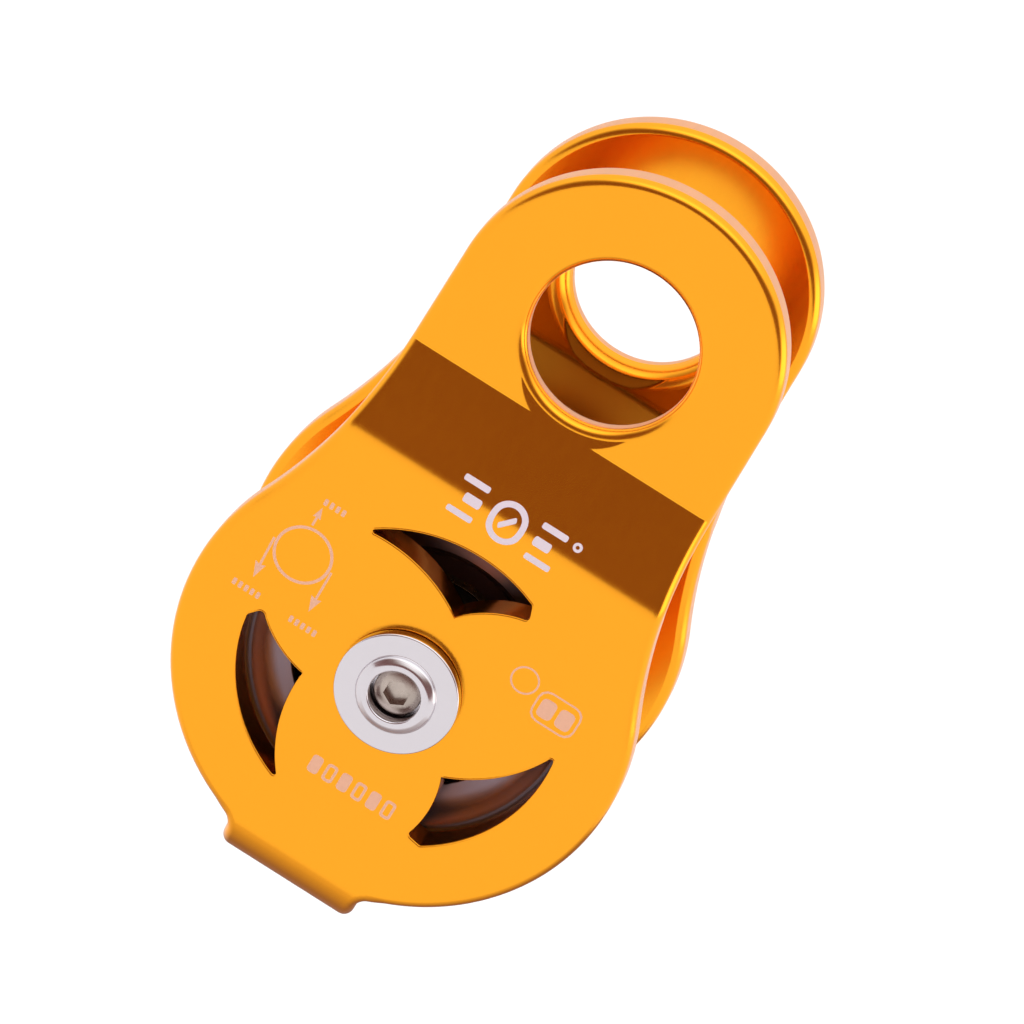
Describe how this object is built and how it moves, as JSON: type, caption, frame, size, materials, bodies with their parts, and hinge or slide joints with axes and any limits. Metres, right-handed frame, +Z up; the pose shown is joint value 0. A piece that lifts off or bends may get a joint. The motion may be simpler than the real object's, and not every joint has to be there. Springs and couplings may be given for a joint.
{
  "type": "rope pulley",
  "caption": "Rope pulley with a folded sheet frame: two joggled cheeks with a round eye and curved windows, joined by a bottom strap round a grooved ball-bearing sheave.",
  "frame": {"origin": "middle of the eye, half way between the cheeks, where the carabiner holds the pulley up", "axes": "+Z up from the axle to the eye, Y along the axle with the front cheek facing -Y, X across the cheeks"},
  "size_m": [0.06, 0.0423, 0.107],
  "materials": {
    "cheek_frame": "orange anodised, satin",
    "sheave": "bronze anodised, satin",
    "axle": "polished",
    "steel_hardware": "plain, satin",
    "bearing_steel": "ground",
    "ball_cage": "plain",
    "bearing_shield": "matt"
  },
  "bodies": {
    "frame": {"cheek_frame": "cheek_frame", "inner_race": "bearing_steel", "spacer_front": "steel_hardware", "spacer_rear": "steel_hardware", "axle_barrel": "axle", "axle_cap": "axle", "axle_screw": "steel_hardware"},
    "sheave_unit": {"sheave": "sheave", "outer_race": "bearing_steel", "shield_front": "bearing_shield", "shield_rear": "bearing_shield", "retaining_ring": "steel_hardware"},
    "cage": {"ball_cage": "ball_cage", "ball_01": "bearing_steel", "ball_02": "bearing_steel", "ball_03": "bearing_steel", "ball_04": "bearing_steel", "ball_05": "bearing_steel", "ball_06": "bearing_steel", "ball_07": "bearing_steel", "ball_08": "bearing_steel", "ball_09": "bearing_steel", "ball_10": "bearing_steel"}
  },
  "joints": [
    {"name": "sheave_spin", "type": "hinge", "parent": "frame", "child": "sheave_unit", "pos_m": [0, 0, -0.052], "axis": [0, 1, 0], "continuous": true},
    {"name": "cage_orbit", "type": "hinge", "parent": "frame", "child": "cage", "pos_m": [0, 0, -0.052], "axis": [0, 1, 0], "continuous": true}
  ],
  "couplings": [
    {"joint": "cage_orbit", "follows": "sheave_spin", "ratio": 0.5875}
  ]
}
